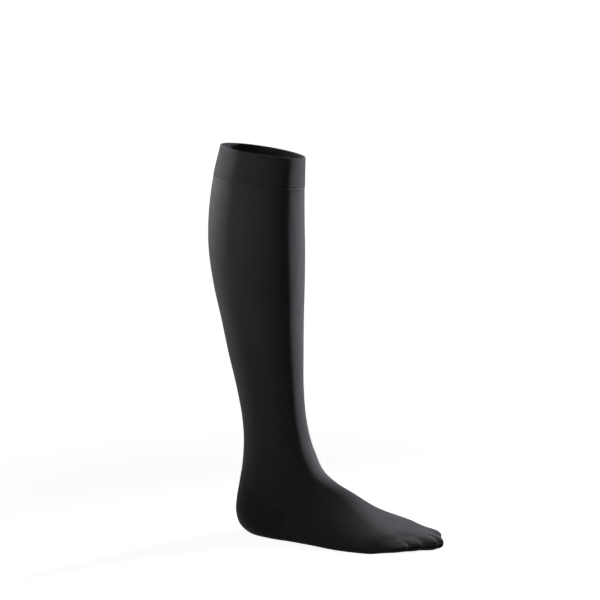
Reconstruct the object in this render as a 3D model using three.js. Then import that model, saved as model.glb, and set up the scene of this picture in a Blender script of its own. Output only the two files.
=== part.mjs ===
// A knee-high compression stocking in its worn form, for the right foot: the sole flat on the floor,
// the shin upright, and the knit a hollow wall with nothing inside.
// Millimetres. +X runs to the toes, +Z up, and -Y is the little-toe side.
// The sections are stated from the floor and from the back of the heel, and the whole group is then
// moved so that the origin is the centre of the top band, where the leg holds the stocking up.

import * as THREE from 'three';
import { mergeVertices } from 'three/addons/utils/BufferGeometryUtils.js';

// Driving dimensions. A course is a length along the stocking, counted down from the rim.
const SEAM_GAP = 0.3;
const GRIP = { x: 28, z: 414 };
const BAND = { hemCourse: 33, wall: 2.0, proud: 0.3, rimRound: 0.8 };
const TUBE = { wall: 1.2, firstFixed: 300, lastFixed: 500 };
const HEEL = { course: 411, reachDegrees: 97.5, above: 59, below: 36, wall: 1.5, tipWidth: 1.6 };
const TOE = { course: 544, outerSlant: 40, innerSlant: 4, wall: 1.5, innerEnd: 588 };
const FLOOR_PRESS = 3;

// The toe line of a general foot under the taut cap: how far it reaches at places across the foot.
const TOE_LINE = [
  { y: -60, reach: 180 },
  { y: -42, reach: 187 },
  { y: -34, reach: 196.5 },
  { y: -28, reach: 207 },
  { y: -18.5, reach: 215 },
  { y: -6, reach: 230 },
  { y: 2.5, reach: 240 },
  { y: 12, reach: 238 },
  { y: 31, reach: 229.5 },
  { y: 45, reach: 226 },
];
const BALL_COURSE = 511;

// The third toe's end stands forward, and the toe ends part a little at four clefts, with soft
// valleys over them.
const MIDDLE_TOE = { y: -6, push: 4.5, width: 4.5 };
const CLEFTS = [
  { y: -23.5, width: 2.4 },
  { y: -12, width: 3 },
  { y: -1.5, width: 2.2 },
  { y: 15, width: 4 },
];
const TOE_ENDS = { cleftDepth: 2.6, start: 578, full: 594 };
const VALLEY = { depth: 0.6, start: 576, full: 592, fullHeight: 20, lowerHalf: -0.2, lowerShare: 0.5 };

// One row for each section of the worn form. front and back are its two points in the side view,
// outer and inner are its half-widths on the little-toe side and the big-toe side, crest is how
// far its front lies towards the big toe, and the three rounds are the exponents of its inner
// front, outer front and back (2 is an ellipse). Lean narrows its front and widens its back, and
// fall lowers the top towards the little-toe side.
const COLUMNS = ['frontX', 'frontZ', 'backX', 'backZ', 'outer', 'inner', 'crest', 'frontRound',
  'outerRound', 'backRound', 'lean', 'fall'];
const SECTIONS = [
  ['rim', 77.0, 422.5, -16.5, 437.5, 44.5, 44.5, 0, 2.0, 2.0, 2.0, 0.06, 0],
  ['band hem', 76.3, 390.0, -24.9, 404.0, 48.1, 47.6, 0, 2.0, 2.0, 2.0, 0.07, 0],
  ['upper calf', 76.2, 353.0, -30.8, 361.0, 50.5, 50.0, 0, 2.0, 2.0, 2.0, 0.08, 0],
  ['widest calf', 76.6, 320.0, -31.2, 325.0, 51.0, 52.0, 0, 2.0, 2.0, 2.0, 0.08, 0],
  ['lower calf', 76.2, 282.0, -26.0, 285.0, 48.0, 50.0, 0, 2.0, 2.0, 2.0, 0.08, 0],
  ['calf end', 75.4, 242.0, -17.0, 244.0, 43.5, 45.0, 0, 2.0, 2.0, 2.0, 0.07, 0],
  ['upper shin', 75.5, 205.0, -9.4, 206.0, 38.5, 39.5, 0, 2.0, 2.0, 2.0, 0.05, 0],
  ['lower shin', 76.2, 165.0, 0.0, 165.0, 33.0, 33.5, 0, 2.0, 2.0, 2.0, 0.03, 0],
  ['narrowest', 78.6, 134.0, 5.8, 132.0, 30.5, 31.0, 1, 2.0, 2.0, 2.0, 0, 0],
  ['above ankle', 83.8, 107.0, 7.5, 103.0, 31.0, 31.5, 3, 2.0, 2.0, 2.0, 0, 0],
  ['ankle', 89.6, 90.0, 6.0, 78.0, 33.0, 33.5, 5, 2.0, 2.0, 2.1, 0.02, 0],
  ['ankle bend', 95.5, 77.0, 2.6, 56.0, 34.5, 35.0, 6, 2.0, 2.0, 2.2, 0.04, 0],
  ['heel top', 101.5, 69.5, -0.6, 38.0, 35.0, 35.5, 7, 2.0, 2.0, 2.2, 0.06, 0],
  ['heel back', 107.0, 65.0, -1.4, 23.0, 35.0, 35.5, 8, 2.0, 2.0, 2.2, 0.08, 0],
  ['heel turn', 112.0, 62.0, 3.2, 9.0, 35.0, 35.0, 8, 2.0, 2.0, 2.2, 0.10, 0],
  ['heel under', 117.0, 59.3, 18.0, -1.0, 35.0, 34.0, 8, 2.0, 2.0, 2.3, 0.13, 0],
  ['heel front', 123.0, 56.6, 40.0, -5.0, 35.5, 32.5, 8, 2.0, 2.0, 2.4, 0.18, 0],
  ['arch back', 131.0, 52.8, 66.0, -5.0, 39.0, 32.0, 8, 2.0, 2.0, 2.4, 0.22, 0],
  ['arch', 142.0, 46.8, 97.0, -5.0, 44.0, 33.0, 8, 2.0, 2.0, 2.4, 0.25, 0],
  ['instep', 155.0, 39.4, 129.0, -7.0, 47.5, 38.0, 7, 2.0, 2.2, 2.5, 0.20, 1],
  ['ball back', 168.0, 33.2, 155.0, -7.0, 48.0, 42.0, 6, 2.1, 2.5, 2.5, 0.13, 3.5],
  ['ball', 182.0, 28.4, 176.0, -6.0, 46.5, 42.5, 6, 2.2, 3.0, 2.6, 0.08, 6.5],
  ['toe roots', 196.0, 23.8, 194.0, -5.0, 44.0, 41.0, 6, 2.3, 3.6, 2.7, 0.04, 7],
  ['toe joints', 208.0, 20.0, 208.0, -4.0, 42.0, 38.5, 6, 2.3, 3.7, 2.8, 0.02, 4.5],
  ['toe pads', 219.0, 17.6, 219.0, -2.0, 40.5, 36.5, 6, 2.5, 3.6, 2.8, 0, 3],
  ['toe backs', 228.5, 16.0, 228.5, 0.2, 38.5, 35.5, 6, 2.6, 3.1, 2.6, 0, 2],
  ['toe ends', 236.0, 13.4, 236.0, 1.8, 36.5, 34.5, 6, 2.6, 2.8, 2.4, 0, 1],
  ['toe tips', 239.0, 11.0, 239.0, 4.2, 35.0, 33.0, 6, 2.4, 2.5, 2.3, 0, 0],
  ['toe seam', 240.0, 8.4, 240.0, 7.6, 33.0, 31.0, 6, 2.2, 2.2, 2.2, 0, 0],
];

// How fine each piece is: steps round the leg, and the course pitch of each stretch.
const ROUND_STEPS = 48;
const TOE_ROUND_STEPS = 96;
const PITCH = { band: 8, leg: 18, ankle: 10, foot: 10, heel: 9, toe: 3 };

// A smooth rise from 0 to 1 between two courses.
function rising(course, from, to) {
  const t = THREE.MathUtils.clamp((course - from) / (to - from), 0, 1);
  return t * t * (3 - 2 * t);
}

// A smooth curve through knots: cubic pieces whose slopes come from the neighbouring knots.
function curveThrough(places, values) {
  const last = places.length - 1;
  const step = i => places[i + 1] - places[i];
  const rise = i => (values[i + 1] - values[i]) / step(i);
  const slopes = places.map((_, i) => {
    if (i === 0) return rise(0);
    if (i === last) return rise(last - 1);
    return (rise(i - 1) * step(i) + rise(i) * step(i - 1)) / (step(i - 1) + step(i));
  });
  return place => {
    let i = 0;
    while (i < last - 1 && place >= places[i + 1]) i += 1;
    const t = (place - places[i]) / step(i);
    const start = (1 + 2 * t) * (1 - t) * (1 - t) * values[i];
    const leave = t * (1 - t) * (1 - t) * step(i) * slopes[i];
    const end = t * t * (3 - 2 * t) * values[i + 1];
    const arrive = t * t * (t - 1) * step(i) * slopes[i + 1];
    return start + leave + end + arrive;
  };
}

// The course of each section is the mean of the travel along the front and along the back.
function sectionCourses() {
  const courses = [0];
  for (let i = 1; i < SECTIONS.length; i += 1) {
    const [, frontX, frontZ, backX, backZ] = SECTIONS[i];
    const [, lastFrontX, lastFrontZ, lastBackX, lastBackZ] = SECTIONS[i - 1];
    const front = Math.hypot(frontX - lastFrontX, frontZ - lastFrontZ);
    const back = Math.hypot(backX - lastBackX, backZ - lastBackZ);
    courses.push(courses[i - 1] + (front + back) / 2);
  }
  return courses;
}

const courses = sectionCourses();
const lastCourse = courses[courses.length - 1];
const along = {};
COLUMNS.forEach((name, i) => {
  along[name] = curveThrough(courses, SECTIONS.map(row => row[i + 1]));
});

// How far the toe line lies behind the longest toe, across the foot.
const longestToe = Math.max(...TOE_LINE.map(place => place.reach));
const setback = curveThrough(TOE_LINE.map(place => place.y), TOE_LINE.map(place => longestToe - place.reach));
const outerEnd = TOE_LINE[0].y;
const innerEnd = TOE_LINE[TOE_LINE.length - 1].y;

const hump = (place, middle, width) => Math.exp(-(((place - middle) / width) ** 2));

// How near a place across the foot is to a cleft, from 0 to 1.
function cleftShare(y) {
  return CLEFTS.reduce((share, cleft) => share + hump(y, cleft.y, cleft.width), 0);
}

// The floor presses the sole flat, with a short curve where the cloth leaves the floor.
function pressed(z) {
  if (z > FLOOR_PRESS) return z;
  if (z < -FLOOR_PRESS) return 0;
  return (z + FLOOR_PRESS) ** 2 / (4 * FLOOR_PRESS);
}

const signedPower = (value, power) => Math.sign(value) * Math.abs(value) ** power;

// The worn form: a point at a course and at an angle round the section, which is 0 at the front or
// top of the foot, a quarter turn on the big-toe side and half a turn at the back or sole.
function form(course, angle) {
  const s = {};
  COLUMNS.forEach(name => {
    s[name] = along[name](course);
  });
  const cosine = Math.cos(angle);
  const sine = Math.sin(angle);
  const topRound = sine < 0 ? s.outerRound : s.frontRound;
  const power = 2 / (cosine >= 0 ? topRound : s.backRound);
  const depth = signedPower(cosine, power);
  const width = signedPower(sine, power);
  const half = width < 0 ? s.outer : s.inner;
  const y = width * half * (1 - s.lean * depth) + s.crest * (depth + 1) / 2;
  let x = (s.frontX + s.backX) / 2 + (s.frontX - s.backX) / 2 * depth;
  let z = (s.frontZ + s.backZ) / 2 + (s.frontZ - s.backZ) / 2 * depth;
  const outward = THREE.MathUtils.clamp((s.crest - y) / (s.crest + s.outer), 0, 1);
  z -= s.fall * outward ** 2 * (depth + 1) / 2;
  x -= setback(THREE.MathUtils.clamp(y, outerEnd, innerEnd)) * rising(course, BALL_COURSE, lastCourse);
  const cleft = cleftShare(y);
  const push = MIDDLE_TOE.push * hump(y, MIDDLE_TOE.y, MIDDLE_TOE.width);
  x += (push - TOE_ENDS.cleftDepth * cleft) * rising(course, TOE_ENDS.start, TOE_ENDS.full);
  const height = THREE.MathUtils.clamp((s.frontZ - s.backZ) / VALLEY.fullHeight, 0, 1);
  const valley = cleft * VALLEY.depth * rising(course, VALLEY.start, VALLEY.full);
  z -= valley * height * (depth > VALLEY.lowerHalf ? 1 : -VALLEY.lowerShare);
  return new THREE.Vector3(x, y, pressed(z));
}

// A point of the wall: the form moved along its outward normal, inwards where the offset is negative.
function wallPoint(course, angle, offset) {
  const reachAlong = 0.4;
  const turn = 0.012;
  const down = Math.min(course + reachAlong, lastCourse);
  const up = Math.max(course - reachAlong, 0);
  const lengthwise = form(down, angle).sub(form(up, angle));
  const round = form(course, angle + turn).sub(form(course, angle - turn));
  const normal = lengthwise.cross(round).normalize();
  return form(course, angle).addScaledVector(normal, offset);
}

// Evenly spaced courses from one to another, both ends in.
function evenCourses(from, to, pitch) {
  const count = Math.max(1, Math.round((to - from) / pitch));
  return Array.from({ length: count + 1 }, (_, i) => from + (to - from) * i / count);
}

// Lists of courses that follow on from each other, each shared end kept once.
function joined(...lists) {
  return lists.flatMap((list, i) => (i < lists.length - 1 ? list.slice(0, -1) : list));
}

// Angles once round a section; the last one is the first one again.
function roundAngles(steps) {
  return Array.from({ length: steps + 1 }, (_, i) => 2 * Math.PI * (i % steps) / steps);
}

// The heel's opening in the tube: two lines that leave the gore's end and part round the back.
const reach = THREE.MathUtils.degToRad(HEEL.reachDegrees);
const fromBack = angle => Math.abs(angle - Math.PI);
const opening = angle => Math.max(0, 1 - (fromBack(angle) / reach) ** 2);
const heelTop = angle => HEEL.course - HEEL.above * opening(angle);
const heelBottom = angle => HEEL.course + HEEL.below * opening(angle);
const inHeel = angle => fromBack(angle) < reach - 1e-6;

// The toe cap's seam runs straight across the foot, so on the little-toe side, where the toe line
// falls back, it lies at later courses.
function toeLine(angle) {
  const sine = Math.sin(angle);
  return TOE.course + (sine < 0 ? -TOE.outerSlant : TOE.innerSlant) * sine;
}

// Triangles of one piece, gathered strip by strip and welded at the end.
class Piece {
  constructor() {
    this.corners = [];
  }

  triangle(a, b, c) {
    const thin = a.distanceTo(b) < 1e-5 || b.distanceTo(c) < 1e-5 || c.distanceTo(a) < 1e-5;
    if (!thin) this.corners.push(a, b, c);
  }

  // A strip between two rows of points; the rows run the same way.
  strip(upper, lower, keep = () => true) {
    for (let i = 0; i + 1 < upper.length; i += 1) {
      if (keep(i)) {
        this.triangle(upper[i], lower[i], upper[i + 1]);
        this.triangle(lower[i], lower[i + 1], upper[i + 1]);
      }
    }
  }

  // A sheet of rows, from the top row down.
  sheet(rows) {
    for (let i = 0; i + 1 < rows.length; i += 1) this.strip(rows[i], rows[i + 1]);
  }

  geometry() {
    const loose = new THREE.BufferGeometry().setFromPoints(this.corners);
    return mergeVertices(loose, 1e-4);
  }
}

// Rows of wall points for a list of courses, each moved to its place at each angle.
function wallRows(list, angles, offset, place = course => course) {
  return list.map(course => angles.map(angle => wallPoint(place(course, angle), angle, offset)));
}

const reversed = rows => rows.map(row => [...row].reverse());
const columnOf = (rows, i) => rows.map(row => row[i]);

function topBand() {
  const piece = new Piece();
  const angles = roundAngles(ROUND_STEPS);
  const list = evenCourses(0, BAND.hemCourse - SEAM_GAP / 2, PITCH.band);
  const outer = wallRows(list, angles, BAND.proud);
  const inner = wallRows(list, angles, BAND.proud - BAND.wall);
  const fold = outer[0].map((point, i) => {
    const middle = point.clone().add(inner[0][i]).multiplyScalar(0.5);
    return middle.add(new THREE.Vector3(0, 0, BAND.rimRound));
  });
  piece.sheet(outer);
  piece.sheet(reversed(inner));
  piece.strip(inner[0], fold);
  piece.strip(fold, outer[0]);
  piece.strip(outer[outer.length - 1], inner[inner.length - 1]);
  return piece.geometry();
}

function legAndFoot() {
  const piece = new Piece();
  const angles = roundAngles(ROUND_STEPS);
  const hem = BAND.hemCourse + SEAM_GAP / 2;
  const legList = joined(evenCourses(hem, TUBE.firstFixed, PITCH.leg),
    evenCourses(TUBE.firstFixed, HEEL.course, PITCH.ankle));
  const footList = joined(evenCourses(HEEL.course, TUBE.lastFixed, PITCH.foot),
    evenCourses(TUBE.lastFixed, TOE.course, PITCH.foot));
  const legPlace = (course, angle) => {
    const share = Math.max(0, (course - TUBE.firstFixed) / (HEEL.course - TUBE.firstFixed));
    return course + share * (heelTop(angle) - HEEL.course);
  };
  const footPlace = (course, angle) => {
    const heelShare = Math.max(0, (TUBE.lastFixed - course) / (TUBE.lastFixed - HEEL.course));
    const toeShare = Math.max(0, (course - TUBE.lastFixed) / (TOE.course - TUBE.lastFixed));
    const toeEnd = toeLine(angle) - SEAM_GAP / 2;
    return course + heelShare * (heelBottom(angle) - HEEL.course) + toeShare * (toeEnd - TOE.course);
  };
  const legOuter = wallRows(legList, angles, 0, legPlace);
  const legInner = wallRows(legList, angles, -TUBE.wall, legPlace);
  const footOuter = wallRows(footList, angles, 0, footPlace);
  const footInner = wallRows(footList, angles, -TUBE.wall, footPlace);
  const legEnd = legList.length - 1;
  const footEnd = footList.length - 1;
  const heelEdge = i => inHeel((angles[i] + (angles[i + 1] || 2 * Math.PI)) / 2);
  piece.sheet(legOuter);
  piece.sheet(footOuter);
  piece.sheet(reversed(legInner));
  piece.sheet(reversed(footInner));
  piece.strip(legInner[0], legOuter[0]);
  piece.strip(legOuter[legEnd], legInner[legEnd], heelEdge);
  piece.strip(footInner[0], footOuter[0], heelEdge);
  piece.strip(footOuter[footEnd], footInner[footEnd]);
  return piece.geometry();
}

// The heel pocket fills the tube's opening, a seam's gap smaller all round.
function heelPocket() {
  const piece = new Piece();
  const step = 2 * Math.PI / ROUND_STEPS;
  const whole = Math.floor(reach / step - 1e-6);
  const tip = reach * Math.sqrt(1 - HEEL.tipWidth / (HEEL.above + HEEL.below));
  const inside = Array.from({ length: 2 * whole + 1 }, (_, i) => Math.PI + (i - whole) * step);
  const angles = [Math.PI - tip, ...inside, Math.PI + tip];
  const list = evenCourses(0, 1, PITCH.heel / (HEEL.above + HEEL.below));
  const place = (share, angle) => {
    const top = heelTop(angle) + SEAM_GAP;
    const bottom = heelBottom(angle) - SEAM_GAP;
    return top + share * (bottom - top);
  };
  const outer = wallRows(list, angles, 0, place);
  const inner = wallRows(list, angles, -HEEL.wall, place);
  const end = list.length - 1;
  const side = angles.length - 1;
  piece.sheet(outer);
  piece.sheet(reversed(inner));
  piece.strip(inner[0], outer[0]);
  piece.strip(outer[end], inner[end]);
  piece.strip(columnOf(outer, 0), columnOf(inner, 0));
  piece.strip(columnOf(inner, side), columnOf(outer, side));
  return piece.geometry();
}

// The toe cap ends in the linked toe seam, where its upper and lower halves meet.
function toeCap() {
  const piece = new Piece();
  const angles = roundAngles(TOE_ROUND_STEPS);
  const list = evenCourses(0, 1, PITCH.toe / (lastCourse - TOE.course));
  const placeTo = end => (share, angle) => {
    const start = toeLine(angle) + SEAM_GAP / 2;
    return start + share * (end - start);
  };
  const outer = wallRows(list, angles, 0, placeTo(lastCourse));
  const inner = wallRows(list, angles, -TOE.wall, placeTo(TOE.innerEnd));
  piece.sheet(outer);
  piece.sheet(reversed(inner));
  piece.strip(inner[0], outer[0]);
  const quarter = TOE_ROUND_STEPS / 4;
  const round = i => (i + TOE_ROUND_STEPS) % TOE_ROUND_STEPS;
  const halves = row => {
    const upper = [];
    const lower = [];
    for (let i = -quarter; i <= quarter; i += 1) {
      upper.push(row[round(i)]);
      lower.push(row[round(2 * quarter - i)]);
    }
    return [upper, lower];
  };
  const [outerUpper, outerLower] = halves(outer[outer.length - 1]);
  const [innerUpper, innerLower] = halves(inner[inner.length - 1]);
  piece.strip(outerUpper, outerLower);
  piece.strip(innerLower, innerUpper);
  return piece.geometry();
}

function clothMaterial(color, roughness) {
  return new THREE.MeshStandardMaterial({ color, roughness, metalness: 0 });
}

const pieces = [
  { name: 'top_band', geometry: topBand(), material: clothMaterial(0x2c2b2d, 0.8) },
  { name: 'leg_and_foot', geometry: legAndFoot(), material: clothMaterial(0x2f2d30, 0.7) },
  { name: 'heel_pocket', geometry: heelPocket(), material: clothMaterial(0x2a292b, 0.78) },
  { name: 'toe_cap', geometry: toeCap(), material: clothMaterial(0x2a292b, 0.78) },
];

const stocking = new THREE.Group();
stocking.position.set(-GRIP.x, 0, -GRIP.z);
for (const { name, geometry, material } of pieces) {
  const mesh = new THREE.Mesh(geometry, material);
  mesh.name = name;
  stocking.add(mesh);
}

export default stocking;
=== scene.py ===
import bmesh
import bpy
import numpy as np
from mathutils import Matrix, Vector


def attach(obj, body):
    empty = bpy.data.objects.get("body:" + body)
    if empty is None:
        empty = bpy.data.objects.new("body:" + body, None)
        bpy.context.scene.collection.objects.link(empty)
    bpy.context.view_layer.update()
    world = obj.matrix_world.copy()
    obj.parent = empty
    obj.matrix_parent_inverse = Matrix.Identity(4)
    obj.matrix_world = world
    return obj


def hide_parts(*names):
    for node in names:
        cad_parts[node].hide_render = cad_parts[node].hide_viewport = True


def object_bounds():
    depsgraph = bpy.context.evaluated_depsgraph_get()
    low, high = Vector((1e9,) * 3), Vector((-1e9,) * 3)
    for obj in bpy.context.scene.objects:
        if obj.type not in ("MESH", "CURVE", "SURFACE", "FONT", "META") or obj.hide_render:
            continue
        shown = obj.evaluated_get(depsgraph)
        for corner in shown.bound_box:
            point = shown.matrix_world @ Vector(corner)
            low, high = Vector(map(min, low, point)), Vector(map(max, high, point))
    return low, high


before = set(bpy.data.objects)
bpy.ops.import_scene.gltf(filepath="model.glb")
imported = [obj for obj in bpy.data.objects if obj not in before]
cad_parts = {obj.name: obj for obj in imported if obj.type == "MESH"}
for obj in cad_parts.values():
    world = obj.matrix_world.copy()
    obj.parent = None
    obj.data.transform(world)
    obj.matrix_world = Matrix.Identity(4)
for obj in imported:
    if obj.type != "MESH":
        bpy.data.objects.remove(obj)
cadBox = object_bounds()
mm = 0.001
floorZ = cadBox[0].z
print("frame loaded, floor at", round(floorZ, 4))

# The worn form is stated in millimetres from the floor and from the back of the heel. A course is
# a length along the stocking, counted down from the rim, and an angle runs round the section from
# the front or top of the foot through the big-toe side to the back or sole.
stocking = {
    "grip": (28, 0, 414),  # the origin, at the centre of the top band
    "hem": 33,  # course of the band's lower edge
    "floorPress": 3,  # how far the sole's curve is pressed flat
    "needles": 384,  # wales round the leg
    "courseHeight": 0.62,  # mm of one row of stitches
}
sectionColumns = ["frontX", "frontZ", "backX", "backZ", "outer", "inner", "crest",
                  "frontRound", "outerRound", "backRound", "lean", "fall"]
sections = np.array([
    (77.0, 422.5, -16.5, 437.5, 44.5, 44.5, 0, 2.0, 2.0, 2.0, 0.06, 0),  # rim
    (76.3, 390.0, -24.9, 404.0, 48.1, 47.6, 0, 2.0, 2.0, 2.0, 0.07, 0),  # band hem
    (76.2, 353.0, -30.8, 361.0, 50.5, 50.0, 0, 2.0, 2.0, 2.0, 0.08, 0),  # upper calf
    (76.6, 320.0, -31.2, 325.0, 51.0, 52.0, 0, 2.0, 2.0, 2.0, 0.08, 0),  # widest calf
    (76.2, 282.0, -26.0, 285.0, 48.0, 50.0, 0, 2.0, 2.0, 2.0, 0.08, 0),  # lower calf
    (75.4, 242.0, -17.0, 244.0, 43.5, 45.0, 0, 2.0, 2.0, 2.0, 0.07, 0),  # calf end
    (75.5, 205.0, -9.4, 206.0, 38.5, 39.5, 0, 2.0, 2.0, 2.0, 0.05, 0),  # upper shin
    (76.2, 165.0, 0.0, 165.0, 33.0, 33.5, 0, 2.0, 2.0, 2.0, 0.03, 0),  # lower shin
    (78.6, 134.0, 5.8, 132.0, 30.5, 31.0, 1, 2.0, 2.0, 2.0, 0, 0),  # narrowest
    (83.8, 107.0, 7.5, 103.0, 31.0, 31.5, 3, 2.0, 2.0, 2.0, 0, 0),  # above the ankle
    (89.6, 90.0, 6.0, 78.0, 33.0, 33.5, 5, 2.0, 2.0, 2.1, 0.02, 0),  # ankle
    (95.5, 77.0, 2.6, 56.0, 34.5, 35.0, 6, 2.0, 2.0, 2.2, 0.04, 0),  # ankle bend
    (101.5, 69.5, -0.6, 38.0, 35.0, 35.5, 7, 2.0, 2.0, 2.2, 0.06, 0),  # heel top
    (107.0, 65.0, -1.4, 23.0, 35.0, 35.5, 8, 2.0, 2.0, 2.2, 0.08, 0),  # heel back
    (112.0, 62.0, 3.2, 9.0, 35.0, 35.0, 8, 2.0, 2.0, 2.2, 0.10, 0),  # heel turn
    (117.0, 59.3, 18.0, -1.0, 35.0, 34.0, 8, 2.0, 2.0, 2.3, 0.13, 0),  # heel under
    (123.0, 56.6, 40.0, -5.0, 35.5, 32.5, 8, 2.0, 2.0, 2.4, 0.18, 0),  # heel front
    (131.0, 52.8, 66.0, -5.0, 39.0, 32.0, 8, 2.0, 2.0, 2.4, 0.22, 0),  # arch back
    (142.0, 46.8, 97.0, -5.0, 44.0, 33.0, 8, 2.0, 2.0, 2.4, 0.25, 0),  # arch
    (155.0, 39.4, 129.0, -7.0, 47.5, 38.0, 7, 2.0, 2.2, 2.5, 0.20, 1),  # instep
    (168.0, 33.2, 155.0, -7.0, 48.0, 42.0, 6, 2.1, 2.8, 2.5, 0.13, 4),  # ball back
    (182.0, 28.4, 176.0, -6.0, 46.5, 42.5, 6, 2.2, 4.0, 2.6, 0.08, 8),  # ball
    (196.0, 23.8, 194.0, -5.0, 44.0, 41.0, 6, 2.3, 5.0, 2.7, 0.04, 8.5),  # toe roots
    (208.0, 20.0, 208.0, -4.0, 42.0, 38.5, 6, 2.3, 4.8, 2.8, 0.02, 5.5),  # toe joints
    (219.0, 17.6, 219.0, -2.0, 40.5, 36.5, 6, 2.5, 4.2, 2.8, 0, 3),  # toe pads
    (228.5, 16.0, 228.5, 0.2, 38.5, 35.5, 6, 2.6, 3.4, 2.6, 0, 2),  # toe backs
    (236.0, 13.4, 236.0, 1.8, 36.5, 34.5, 6, 2.6, 2.8, 2.4, 0, 1),  # toe ends
    (239.0, 11.0, 239.0, 4.2, 35.0, 33.0, 6, 2.4, 2.5, 2.3, 0, 0),  # toe tips
    (240.0, 8.4, 240.0, 7.6, 33.0, 31.0, 6, 2.2, 2.2, 2.2, 0, 0),  # toe seam
])
toes = {
    "across": np.array([-60, -42, -34, -28, -18.5, -6, 2.5, 12, 31, 45.0]),  # outer to inner side
    "reach": np.array([180, 187, 196.5, 207, 217, 233.5, 240, 236, 229.5, 226.0]),
    "ballCourse": 511, "topSlope": 0.3, "levelTo": 552,  # where the toe line begins to slant
    "middleAt": -6, "middlePush": 2, "middleWidth": 4.5,  # the third toe's end stands forward
    "clefts": np.array([-23.5, -12, -1.5, 15]), "cleftWidth": np.array([2.4, 3, 2.2, 4.0]),
    "cleftDepth": 3.4, "endStart": 576, "endFull": 593,  # how far the toe ends part
    "hollow": 1.1, "hollowStart": 568, "hollowFull": 590,  # the soft valleys over them
    "fullHeight": 20, "lowerHalf": -0.2, "lowerShare": 0.5,
}


# The course of a section is the mean of the travel along the front and along the back.
travel = np.hypot(np.diff(sections[:, [0, 2]], axis=0), np.diff(sections[:, [1, 3]], axis=0))
sectionCourses = np.concatenate([[0], np.cumsum(travel.mean(axis=1))])
lastCourse = sectionCourses[-1]


# A smooth curve through knots: cubic pieces whose slopes are the neighbours' weighted mean.
def curveThrough(place, places, values):
    step = np.diff(places)
    rise = np.diff(values) / step
    inner = (rise[:-1] * step[1:] + rise[1:] * step[:-1]) / (step[:-1] + step[1:])
    slopes = np.concatenate([rise[:1], inner, rise[-1:]])
    i = np.clip(np.searchsorted(places, place, side="right") - 1, 0, len(step) - 1)
    t = (place - places[i]) / step[i]
    start = (1 + 2 * t) * (1 - t) ** 2 * values[i] + t * (1 - t) ** 2 * step[i] * slopes[i]
    return start + t * t * (3 - 2 * t) * values[i + 1] + t * t * (t - 1) * step[i] * slopes[i + 1]


# A smooth rise from 0 to 1 between two places.
def rising(place, low, high):
    t = np.clip((place - low) / (high - low), 0, 1)
    return t * t * (3 - 2 * t)


# A soft bump of height 1 round a place.
def hump(place, middle, width):
    return np.exp(-((place - middle) / width) ** 2)


# A power that keeps its sign.
def signedPower(value, power):
    return np.sign(value) * np.abs(value) ** power


# The worn form: rounded sections between their front and back points, set back along the toe
# line, parted a little between the toe ends, and pressed flat where the sole meets the floor.
def form(course, angle):
    course, angle = np.broadcast_arrays(course, angle)
    s = {name: curveThrough(course, sectionCourses, sections[:, i])
         for i, name in enumerate(sectionColumns)}
    top = np.where(np.sin(angle) < 0, s["outerRound"], s["frontRound"])
    power = 2 / np.where(np.cos(angle) >= 0, top, s["backRound"])
    depth, width = signedPower(np.cos(angle), power), signedPower(np.sin(angle), power)
    half = np.where(width < 0, s["outer"], s["inner"])
    y = width * half * (1 - s["lean"] * depth) + s["crest"] * (depth + 1) / 2
    x = (s["frontX"] + s["backX"]) / 2 + (s["frontX"] - s["backX"]) / 2 * depth
    z = (s["frontZ"] + s["backZ"]) / 2 + (s["frontZ"] - s["backZ"]) / 2 * depth
    # The top slopes down from the crest to the little-toe side.
    share = np.clip((s["crest"] - y) / (s["crest"] + s["outer"]), 0, 1)
    across, reach = toes["across"], toes["reach"]
    setback = curveThrough(np.clip(y, across[0], across[-1]), across, reach.max() - reach)
    setback = setback * rising(course, toes["ballCourse"], lastCourse)
    x = x - setback
    # Behind the toe ends the top stays level across the foot, so it rises with the setback.
    level = setback * toes["topSlope"] * (1 - rising(course, toes["levelTo"], toes["endStart"]))
    z = z + (level * (1 - share ** 2) - s["fall"] * share ** 1.5) * (depth + 1) / 2
    cleft = hump(y[..., None], toes["clefts"], toes["cleftWidth"]).sum(axis=-1)
    push = toes["middlePush"] * hump(y, toes["middleAt"], toes["middleWidth"])
    x = x + (push - toes["cleftDepth"] * cleft) * rising(course, toes["endStart"], toes["endFull"])
    height = np.clip((s["frontZ"] - s["backZ"]) / toes["fullHeight"], 0, 1)
    valley = cleft * toes["hollow"] * rising(course, toes["hollowStart"], toes["hollowFull"])
    z = z - valley * height * np.where(depth > toes["lowerHalf"], 1, -toes["lowerShare"])
    press = stocking["floorPress"]
    z = np.where(z > press, z, np.where(z < -press, 0, (z + press) ** 2 / (4 * press)))
    return np.stack([x, y, z], axis=-1)


# A point of the cloth: the form moved along its outward normal by an offset in millimetres, then
# carried into the frame in metres.
def clothPoint(course, angle, offset):
    course, angle, offset = np.broadcast_arrays(course, angle, offset)
    down, up = np.minimum(course + 0.4, lastCourse), np.maximum(course - 0.4, 0)
    lengthwise = form(down, angle) - form(up, angle)
    crosswise = form(course, angle + 0.012) - form(course, angle - 0.012)
    normal = np.cross(lengthwise, crosswise)
    normal /= np.linalg.norm(normal, axis=-1, keepdims=True)
    return (form(course, angle) + normal * offset[..., None] - stocking["grip"]) * mm


# Where a column of stitches runs: its share of the way round the section, by length of cloth.
def roundShare(course, angles):
    points = form(np.full_like(angles, course), angles)
    steps = np.linalg.norm(np.diff(points, axis=0), axis=-1)
    return np.concatenate([[0], np.cumsum(steps)]) / steps.sum()


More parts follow.
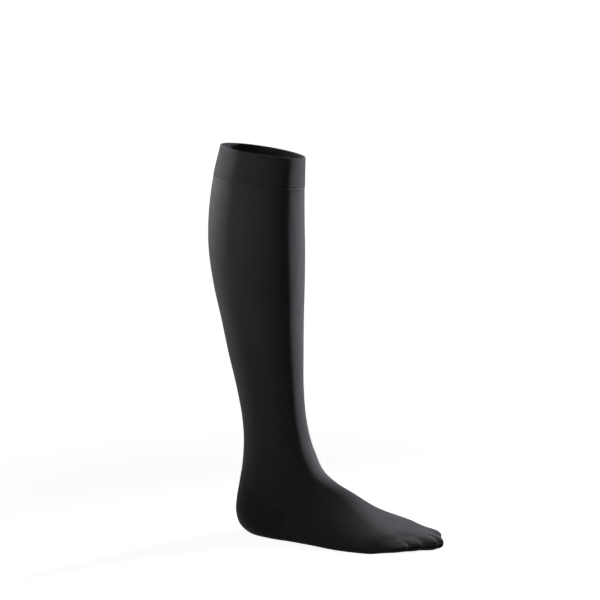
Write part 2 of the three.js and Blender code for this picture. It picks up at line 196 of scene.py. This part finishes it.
# A piece of cloth, gathered sheet by sheet and welded at the end.
class Cloth:
    def __init__(self):
        self.points, self.knit, self.faces, self.count = [], [], [], 0

    # A grid of points from the top row down; keep says which columns have faces.
    def sheet(self, points, knit, keep=None):
        rows, columns = points.shape[:2]
        corner = self.count + np.arange(rows * columns).reshape(rows, columns)
        quads = np.stack([corner[:-1, :-1], corner[1:, :-1], corner[1:, 1:], corner[:-1, 1:]], -1)
        self.faces.append((quads if keep is None else quads[:, keep]).reshape(-1, 4))
        self.points.append(points.reshape(-1, 3))
        self.knit.append(np.broadcast_to(knit, (rows, columns, 2)).reshape(-1, 2))
        self.count += rows * columns

    # A sheet that faces the other way.
    def lining(self, points, knit):
        self.sheet(points[:, ::-1], knit[:, ::-1])

    # A narrow strip from one edge to another.
    def strip(self, first, second, knit, keep=None):
        self.sheet(np.stack([first, second]), np.stack([knit, knit]), keep)

    def make(self, name, node, material):
        mesh = bpy.data.meshes.new(name)
        faces = np.concatenate(self.faces)
        mesh.from_pydata(np.concatenate(self.points), [], faces.tolist())
        uv = mesh.uv_layers.new(name="knit")
        uv.data.foreach_set("uv", np.concatenate(self.knit)[faces.ravel()].ravel())
        weld = bmesh.new()
        weld.from_mesh(mesh)
        bmesh.ops.remove_doubles(weld, verts=weld.verts, dist=2e-6)
        bmesh.ops.dissolve_degenerate(weld, edges=weld.edges, dist=1e-6)
        weld.to_mesh(mesh)
        weld.free()
        mesh.polygons.foreach_set("use_smooth", np.ones(len(mesh.polygons), bool))
        mesh.set_sharp_from_angle(angle=np.radians(50))
        mesh.materials.append(material)
        piece = bpy.data.objects.new(name, mesh)
        bpy.context.scene.collection.objects.link(piece)
        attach(piece, "root")
        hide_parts(node)
        print(name, "made with", len(mesh.polygons), "faces")
        return piece


# A socket of a material's nodes, on which sums are written as Python expressions.
class Shade:
    def __init__(self, tree, socket=None):
        self.tree, self.socket = tree, socket

    # Adds a node: its type, its settings, the values or links of its sockets, and which output.
    def node(self, kind, settings={}, inputs={}, output=0):
        made = self.tree.nodes.new(kind)
        for key, value in settings.items():
            setattr(made, key, value)
        for key, value in inputs.items():
            if isinstance(value, Shade):
                self.tree.links.new(value.socket, made.inputs[key])
            else:
                made.inputs[key].default_value = value
        return Shade(self.tree, made.outputs[output] if len(made.outputs) else None)

    def maths(self, operation, *values):
        return self.node("ShaderNodeMath", {"operation": operation}, dict(enumerate(values)))

    def __add__(self, other):
        return self.maths("ADD", self, other)

    def __sub__(self, other):
        return self.maths("SUBTRACT", self, other)

    def __rsub__(self, other):
        return self.maths("SUBTRACT", other, self)

    def __mul__(self, other):
        return self.maths("MULTIPLY", self, other)

    def __pow__(self, other):
        return self.maths("POWER", self, other)

    def __abs__(self):
        return self.maths("ABSOLUTE", self)

    __radd__ = __add__
    __rmul__ = __mul__

    def fraction(self):
        return self.maths("FRACT", self)

    # Mixes two colours by this value.
    def mix(self, first, second):
        return self.node("ShaderNodeMix", {"data_type": "RGBA"},
                         {0: self, 6: first, 7: second}, output=2)


# A plain knit. Each wale is two slanting legs of yarn, and each leg is rounded once a course, so
# the height is a hump across a leg times a hump along it.
def knitMaterial(name, dark, light, roughness, sheen, legHeight):
    material = bpy.data.materials.new(name)
    material.use_nodes = True
    tree = material.node_tree
    tree.nodes.clear()
    shade = Shade(tree)
    knit = shade.node("ShaderNodeUVMap", {"uv_map": "knit"})
    wale = shade.node("ShaderNodeSeparateXYZ", {}, {0: knit}, output=0)
    course = shade.node("ShaderNodeSeparateXYZ", {}, {0: knit}, output=1)
    leg = abs(wale.fraction() - 0.5)
    acrossLeg = 1 - (leg * 4 - 1) ** 2
    alongLeg = 1 - ((course + leg * 1.1).fraction() * 2 - 1) ** 2
    stitch = acrossLeg * (0.45 + 0.55 * alongLeg)
    place = shade.node("ShaderNodeTexCoord", output=3)
    x = shade.node("ShaderNodeSeparateXYZ", {}, {0: place}, output=0)
    y = shade.node("ShaderNodeSeparateXYZ", {}, {0: place}, output=1)
    streakPlace = shade.node("ShaderNodeCombineXYZ", {}, {0: x * 14, 1: course * 0.24, 2: y * 14})
    streak = shade.node("ShaderNodeTexNoise", {}, {"Vector": streakPlace, "Scale": 1.0,
                                                   "Detail": 3.0, "Roughness": 0.6})
    cloud = shade.node("ShaderNodeTexNoise", {}, {"Vector": place, "Scale": 38.0, "Detail": 2.0})
    # The base colour follows the stitch height: lighter on the raised legs of yarn and darker in the
    # gaps between them, which is painted shade. The streaks along the courses and the fine cloud are
    # the yarn's own uneven tone.
    gapShadeAndStreaks = (stitch * 0.55 + streak * 0.6 + cloud * 0.35 - 0.3).maths("MAXIMUM", 0)
    surface = shade.node("ShaderNodeBump", {}, {"Strength": 0.6, "Distance": legHeight * mm,
                                                "Height": stitch + streak * 0.5})
    finish = shade.node("ShaderNodeBsdfPrincipled", {}, {
        "Base Color": gapShadeAndStreaks.mix(dark, light),
        "Roughness": roughness + 0.08 * cloud,
        "Specular IOR Level": 0.12,
        "Sheen Weight": sheen["weight"],
        "Sheen Roughness": sheen["roughness"],
        "Sheen Tint": sheen["tint"],
        "Normal": surface,
    })
    shade.node("ShaderNodeOutputMaterial", {}, {"Surface": finish})
    return material


softSheen = {"weight": 0.35, "roughness": 0.35, "tint": (0.9, 0.87, 0.95, 1)}
legKnit = knitMaterial("leg_knit", (0.010, 0.0098, 0.0099, 1), (0.030, 0.029, 0.0295, 1), 0.62,
                       softSheen, 0.12)
bandKnit = knitMaterial("band_knit", (0.010, 0.0098, 0.0099, 1), (0.028, 0.027, 0.0275, 1), 0.68,
                        softSheen, 0.16)
reinforcedKnit = knitMaterial("reinforced_knit", (0.009, 0.0088, 0.0089, 1),
                              (0.026, 0.025, 0.0255, 1), 0.68, softSheen, 0.16)
print("materials made")

# Angles once round a section, the last one the first again.
roundSteps = 192
angles = np.linspace(0, 2 * np.pi, roundSteps + 1)
knitShares = np.linspace(0, lastCourse, 60)
knitTable = np.stack([roundShare(course, angles) for course in knitShares])


# Stitch coordinates of points: wales round the leg and courses down from a starting line.
def knitPlace(course, angle, rowStart=0):
    row = course / (knitShares[1] - knitShares[0])
    low = np.clip(row.astype(int), 0, len(knitShares) - 2)
    column = np.mod(angle, 2 * np.pi) / (2 * np.pi) * roundSteps
    column = np.where((column == 0) & (angle > 1), roundSteps, column)
    left = np.clip(column.astype(int), 0, roundSteps - 1)
    across, along = column - left, row - low
    upper = knitTable[low, left] * (1 - across) + knitTable[low, left + 1] * across
    lower = knitTable[low + 1, left] * (1 - across) + knitTable[low + 1, left + 1] * across
    share = upper * (1 - along) + lower * along
    return np.stack([share * stocking["needles"],
                     (course - rowStart) / stocking["courseHeight"]], axis=-1)


# Courses from one to another at about a pitch, both ends in.
def evenCourses(low, high, pitch):
    return np.linspace(low, high, max(2, int(round((high - low) / pitch)) + 1))


# The top band: a double welt folded over at the rim, a little proud of the leg, with the row that
# joins it to the leg drawn in above its lower edge.
band = {"wall": 2.0, "proud": 0.35, "edgeDip": 0.45, "edgeWidth": 0.5, "cord": 0.18,
        "cordAt": 1.5, "cordWidth": 0.6, "foldHeight": 0.8, "pitch": 0.5}


def makeBand():
    cloth = Cloth()
    rows = evenCourses(0, stocking["hem"], band["pitch"])
    course, angle = np.meshgrid(rows, angles, indexing="ij")
    fromHem = stocking["hem"] - course
    outer = band["proud"] - band["edgeDip"] * hump(fromHem, 0, band["edgeWidth"])
    outer = outer + band["cord"] * hump(fromHem, band["cordAt"], band["cordWidth"])
    inner = np.full_like(outer, band["proud"] - band["wall"])
    knit = knitPlace(course, angle)
    outerPoints, innerPoints = clothPoint(course, angle, outer), clothPoint(course, angle, inner)
    cloth.sheet(outerPoints, knit)
    cloth.lining(innerPoints, knit)
    # The fold is a half circle from the inner edge over to the outer edge.
    turn = np.linspace(0, np.pi, 9)[:, None, None]
    middle, reach = (outerPoints[0] + innerPoints[0]) / 2, (outerPoints[0] - innerPoints[0]) / 2
    up = np.array([0, 0, band["foldHeight"] * mm])
    fold = middle - np.cos(turn) * reach + np.sin(turn) * up
    cloth.sheet(fold, np.broadcast_to(knit[0], (9,) + knit[0].shape))
    cloth.strip(outerPoints[-1], innerPoints[-1], knit[-1])
    return cloth.make("band_welt", "top_band", bandKnit)


# The heel's opening: two lines that leave the gore's end and part round the back.
heel = {"course": 411, "reach": np.radians(97.5), "above": 59, "below": 36, "wall": 1.5,
        "proud": 0.12, "goreFrom": np.radians(48), "goreRidge": 0.22, "goreWidth": 0.9,
        "edgeDip": 0.3, "edgeWidth": 0.7, "pitch": 0.9}


def heelOpening(angle):
    return np.clip(1 - (np.abs(angle - np.pi) / heel["reach"]) ** 2, 0, 1)


def heelTop(angle):
    return heel["course"] - heel["above"] * heelOpening(angle)


def heelBottom(angle):
    return heel["course"] + heel["below"] * heelOpening(angle)


# The toe cap's seam runs straight across the foot, so on the little-toe side, where the toe line
# falls back, it lies at later courses.
toeCap = {"course": 544, "outerSlant": 40, "innerSlant": 4, "wall": 1.5, "proud": 0.1, "innerEnd": 588,
          "edgeDip": 0.3, "edgeWidth": 0.7, "pitch": 0.55}


def toeLine(angle):
    sine = np.sin(angle)
    return toeCap["course"] + np.where(sine < 0, -toeCap["outerSlant"], toeCap["innerSlant"]) * sine


# The leg and foot: one tube from the band to the toe cap, with the heel's opening in it.
leg = {"wall": 1.2, "firstFixed": 300, "lastFixed": 500, "hemGroove": 0.3, "hemCord": 0.2,
       "hemCordAt": 1.7, "secondGroove": 0.16, "secondAt": 3.2, "lineWidth": 0.55}


def makeLeg():
    cloth = Cloth()
    hem = stocking["hem"]
    rows = np.concatenate([evenCourses(hem, hem + 6, 0.4)[:-1], evenCourses(hem + 6, 300, 3)[:-1],
                           evenCourses(300, heel["course"], 1.8)])
    footRows = np.concatenate([evenCourses(heel["course"], 500, 2)[:-1],
                               evenCourses(500, toeCap["course"], 1.6)])
    share = np.clip((rows - leg["firstFixed"]) / (heel["course"] - leg["firstFixed"]), 0, None)
    legCourse = rows[:, None] + share[:, None] * (heelTop(angles) - heel["course"])
    heelShare = np.clip((leg["lastFixed"] - footRows) / (leg["lastFixed"] - heel["course"]), 0, 1)
    toeShare = np.clip((footRows - leg["lastFixed"]) / (toeCap["course"] - leg["lastFixed"]), 0, 1)
    footCourse = (footRows[:, None] + heelShare[:, None] * (heelBottom(angles) - heel["course"])
                  + toeShare[:, None] * (toeLine(angles) - toeCap["course"]))
    inHeel = np.abs((angles[1:] + angles[:-1]) / 2 - np.pi) < heel["reach"]
    edges = []
    for course in (legCourse, footCourse):
        angle = np.broadcast_to(angles, course.shape)
        fromHem = course - hem
        offset = (leg["hemCord"] * hump(fromHem, leg["hemCordAt"], leg["lineWidth"])
                  - leg["hemGroove"] * hump(fromHem, 0, leg["lineWidth"])
                  - leg["secondGroove"] * hump(fromHem, leg["secondAt"], leg["lineWidth"]))
        knit = knitPlace(course, angle)
        outer = clothPoint(course, angle, offset)
        inner = clothPoint(course, angle, -leg["wall"])
        cloth.sheet(outer, knit)
        thin = np.unique(np.append(np.arange(0, len(course), 3), len(course) - 1))
        cloth.lining(inner[thin], knit[thin])
        edges.append((outer, inner, knit))
    (legOuter, legInner, legKnits), (footOuter, footInner, footKnits) = edges
    cloth.strip(legInner[0], legOuter[0], legKnits[0])
    cloth.strip(legOuter[-1], legInner[-1], legKnits[-1], inHeel)
    cloth.strip(footInner[0], footOuter[0], footKnits[0], inHeel)
    cloth.strip(footOuter[-1], footInner[-1], footKnits[-1])
    return cloth.make("leg_tube", "leg_and_foot", legKnit)


# The heel pocket fills the opening. Its rows lie along the opening's two lines and meet at an
# angle on the gore, which stands up as a fine ridge on each side.
def makeHeel():
    cloth = Cloth()
    step = 2 * np.pi / roundSteps
    whole = int(round(heel["reach"] / step))
    angle = np.pi + np.linspace(-heel["reach"], heel["reach"], 2 * whole + 1)
    angle[[0, -1]] = np.pi + heel["reach"] * np.array([-0.9985, 0.9985])
    top, bottom = heelTop(angle), heelBottom(angle)
    upper = np.linspace(0, 1, int(heel["above"] / heel["pitch"]))[:, None]
    lower = np.linspace(0, 1, int(heel["below"] / heel["pitch"]))[1:, None]
    course = np.concatenate([top + upper * (heel["course"] - top),
                             heel["course"] + lower * (bottom - heel["course"])])
    angleGrid = np.broadcast_to(angle, course.shape)
    fromEdge = np.minimum(course - top, bottom - course)
    gore = rising(np.abs(angleGrid - np.pi), heel["goreFrom"], heel["goreFrom"] + 0.15)
    offset = (heel["proud"] - heel["edgeDip"] * hump(fromEdge, 0, heel["edgeWidth"])
              + heel["goreRidge"] * gore * hump(course, heel["course"], heel["goreWidth"]))
    knit = knitPlace(course, angleGrid)
    rowsDown = np.where(course < heel["course"], course - top, bottom - course)
    knit[..., 1] = rowsDown / stocking["courseHeight"]
    outer, inner = clothPoint(course, angleGrid, offset), clothPoint(course, angleGrid, -heel["wall"])
    cloth.sheet(outer, knit)
    cloth.lining(inner, knit)
    cloth.strip(inner[0], outer[0], knit[0])
    cloth.strip(outer[-1], inner[-1], knit[-1])
    cloth.strip(outer[:, 0], inner[:, 0], knit[:, 0])
    cloth.strip(inner[:, -1], outer[:, -1], knit[:, -1])
    return cloth.make("heel_short_rows", "heel_pocket", reinforcedKnit)


# The toe cap closes in the linked seam, where its upper and lower halves meet.
def makeToe():
    cloth = Cloth()
    fine = np.linspace(0, 2 * np.pi, 2 * roundSteps + 1)
    start = toeLine(fine)

    def rows(end):
        share = np.linspace(0, 1, int((end - toeCap["course"]) / toeCap["pitch"]))[:, None]
        course = start + share * (end - start)
        return course, np.broadcast_to(fine, course.shape)

    course, angle = rows(lastCourse)
    offset = toeCap["proud"] - toeCap["edgeDip"] * hump(course - start, 0, toeCap["edgeWidth"])
    knit = knitPlace(course, angle, start)
    outer = clothPoint(course, angle, offset)
    innerCourse, innerAngle = rows(toeCap["innerEnd"])
    innerKnit = knitPlace(innerCourse, innerAngle, start)
    inner = clothPoint(innerCourse, innerAngle, -toeCap["wall"])
    cloth.sheet(outer, knit)
    cloth.lining(inner, innerKnit)
    cloth.strip(inner[0], outer[0], knit[0])
    quarter = roundSteps // 2
    top = np.arange(-quarter, quarter + 1) % (2 * roundSteps)
    under = (2 * quarter - np.arange(-quarter, quarter + 1)) % (2 * roundSteps)
    cloth.strip(outer[-1][top], outer[-1][under], knit[-1][top])
    cloth.strip(inner[-1][under], inner[-1][top], innerKnit[-1][top])
    return cloth.make("toe_cap_knit", "toe_cap", reinforcedKnit)


bandWelt = makeBand()
legTube = makeLeg()
heelRows = makeHeel()
toeKnit = makeToe()

# A pale floor that rises into a round white backdrop.
studio = {"flatRadius": 2.6, "bend": 1.4, "wallTop": 3.4, "spokes": 96, "paper": (0.5, 0.5, 0.5, 1),
          "nearGlow": (0.9, 0.9, 0.905, 1), "farGlow": (1.03, 1.03, 1.03, 1),
          "nearRadius": 0.2, "farRadius": 1.0}


# Matt white paper with a glow of its own, weaker round the stocking so that its shadow shows.
def paperMaterial():
    material = bpy.data.materials.new("pale_floor")
    material.use_nodes = True
    tree = material.node_tree
    tree.nodes.clear()
    shade = Shade(tree)
    place = shade.node("ShaderNodeTexCoord", output=3)
    x = shade.node("ShaderNodeSeparateXYZ", {}, {0: place}, output=0)
    y = shade.node("ShaderNodeSeparateXYZ", {}, {0: place}, output=1)
    away = (x * x + y * y) ** 0.5
    far = shade.node("ShaderNodeMapRange", {"interpolation_type": "SMOOTHSTEP"},
                     {"Value": away, "From Min": studio["nearRadius"],
                      "From Max": studio["farRadius"]})
    finish = shade.node("ShaderNodeBsdfPrincipled", {}, {
        "Base Color": studio["paper"],
        "Roughness": 0.9,
        "Specular IOR Level": 0.0,
        "Emission Color": far.mix(studio["nearGlow"], studio["farGlow"]),
        "Emission Strength": 1.0,
    })
    shade.node("ShaderNodeOutputMaterial", {}, {"Surface": finish})
    return material


def makeFloor():
    bend, flat = studio["bend"], studio["flatRadius"]
    turn = np.linspace(0, np.pi / 2, 16)
    radius = np.concatenate([np.linspace(0.01, flat, 12)[:-1], flat + bend * np.sin(turn),
                             [flat + bend]])
    height = np.concatenate([np.zeros(11), bend * (1 - np.cos(turn)), [studio["wallTop"]]])
    spoke = np.linspace(0, 2 * np.pi, studio["spokes"] + 1)
    points = np.stack([radius[:, None] * np.cos(spoke), radius[:, None] * np.sin(spoke),
                       np.broadcast_to(height[:, None] + floorZ, (len(radius), len(spoke)))], -1)
    rows, columns = points.shape[:2]
    corner = np.arange(rows * columns).reshape(rows, columns)
    quads = np.stack([corner[:-1, :-1], corner[1:, :-1], corner[1:, 1:], corner[:-1, 1:]], -1)
    faces = quads.reshape(-1, 4).tolist() + [list(corner[0, :-1])]
    mesh = bpy.data.meshes.new("floor")
    mesh.from_pydata(points.reshape(-1, 3), [], faces)
    mesh.polygons.foreach_set("use_smooth", np.ones(len(mesh.polygons), bool))
    mesh.materials.append(paperMaterial())
    floor = bpy.data.objects.new("floor", mesh)
    floor.visible_diffuse = floor.visible_glossy = False
    bpy.context.scene.collection.objects.link(floor)


makeFloor()

# The photo's view: a long lens from the little-toe side, turned a little towards the toes.
view = {"at": (0.6943, -1.6689, 0.106), "to": (0.0455, 0, -0.1469), "lens": 98.5, "sensor": 36}


def aimed(thing, at, to):
    thing.location = at
    thing.rotation_euler = (Vector(to) - Vector(at)).to_track_quat("-Z", "Y").to_euler()
    bpy.context.scene.collection.objects.link(thing)


lens = bpy.data.cameras.new("camera")
lens.lens, lens.sensor_width = view["lens"], view["sensor"]
camera = bpy.data.objects.new("camera", lens)
aimed(camera, view["at"], view["to"])
bpy.context.scene.camera = camera

# Soft studio lights. Each stands at a turn in degrees from the camera towards the picture's
# right, at a distance and height, and looks at a point of the stocking; spread narrows its beam.
lights = {
    "calfStrip": {"turn": 127, "away": 2.2, "height": 0.45, "looks": (0, 0, 0.02),
                  "size": (0.4, 0.5), "spread": 10, "power": 1.12, "tint": (1, 0.96, 1.06)},
    "shinStrip": {"turn": 127, "away": 2.2, "height": 0.3, "looks": (0, 0, -0.16),
                  "size": (0.4, 0.5), "spread": 10, "power": 0.1, "tint": (1, 0.96, 1.06)},
    "ankleStrip": {"turn": 127, "away": 2.2, "height": 0.3, "looks": (0.02, 0, -0.3),
                   "size": (0.3, 0.3), "spread": 6, "power": 0.33, "tint": (1, 0.96, 1.06)},
    "instepSpot": {"turn": 115, "away": 1.6, "height": 1.2, "looks": (0.15, 0, -0.38),
                   "size": (0.4, 0.4), "spread": 14, "power": 0.2, "tint": (1, 0.96, 1.03)},
    "toeSpot": {"turn": 110, "away": 0.35, "height": 1.3, "looks": (0.196, -0.01, -0.4),
                "size": (0.06, 0.06), "spread": 6, "power": 0.07, "tint": (1, 0.96, 1.03)},
    "leftStrip": {"turn": -121, "away": 1.8, "height": 0.35, "looks": (0, 0, 0.05),
                  "size": (0.4, 0.5), "spread": 18, "power": 0.88, "tint": (1, 0.97, 1.03)},
    "calfFill": {"turn": -60, "away": 1.8, "height": 0.3, "looks": (0, 0, 0),
                 "size": (0.6, 0.5), "spread": 16, "power": 0.65, "tint": (1, 1, 1)},
    "frontFill": {"turn": -20, "away": 2.2, "height": 0.3, "looks": (0, 0, -0.15),
                  "size": (1.2, 1.6), "spread": 180, "power": 10.5, "tint": (1, 1, 0.9)},
}
worldGlow = 0.075


def makeLights():
    toCamera = Vector((view["at"][0] - view["to"][0], view["at"][1] - view["to"][1])).normalized()
    toRight = Vector((-toCamera.y, toCamera.x))
    for name, light in lights.items():
        data = bpy.data.lights.new(name, "AREA")
        data.shape = "RECTANGLE"
        data.size, data.size_y = light["size"]
        data.energy, data.spread = light["power"], np.radians(light["spread"])
        data.color = light["tint"]
        turn = np.radians(light["turn"])
        place = (toCamera * np.cos(turn) + toRight * np.sin(turn)) * light["away"]
        lamp = bpy.data.objects.new(name, data)
        lamp.visible_camera = False
        aimed(lamp, (*place, light["height"]), light["looks"])
    world = bpy.data.worlds.new("studio")
    world.use_nodes = True
    world.node_tree.nodes["Background"].inputs["Color"].default_value = (1, 1, 1, 1)
    world.node_tree.nodes["Background"].inputs["Strength"].default_value = worldGlow
    bpy.context.scene.world = world
    bpy.context.scene.view_settings.view_transform = "Standard"


makeLights()
print("lights and camera set")
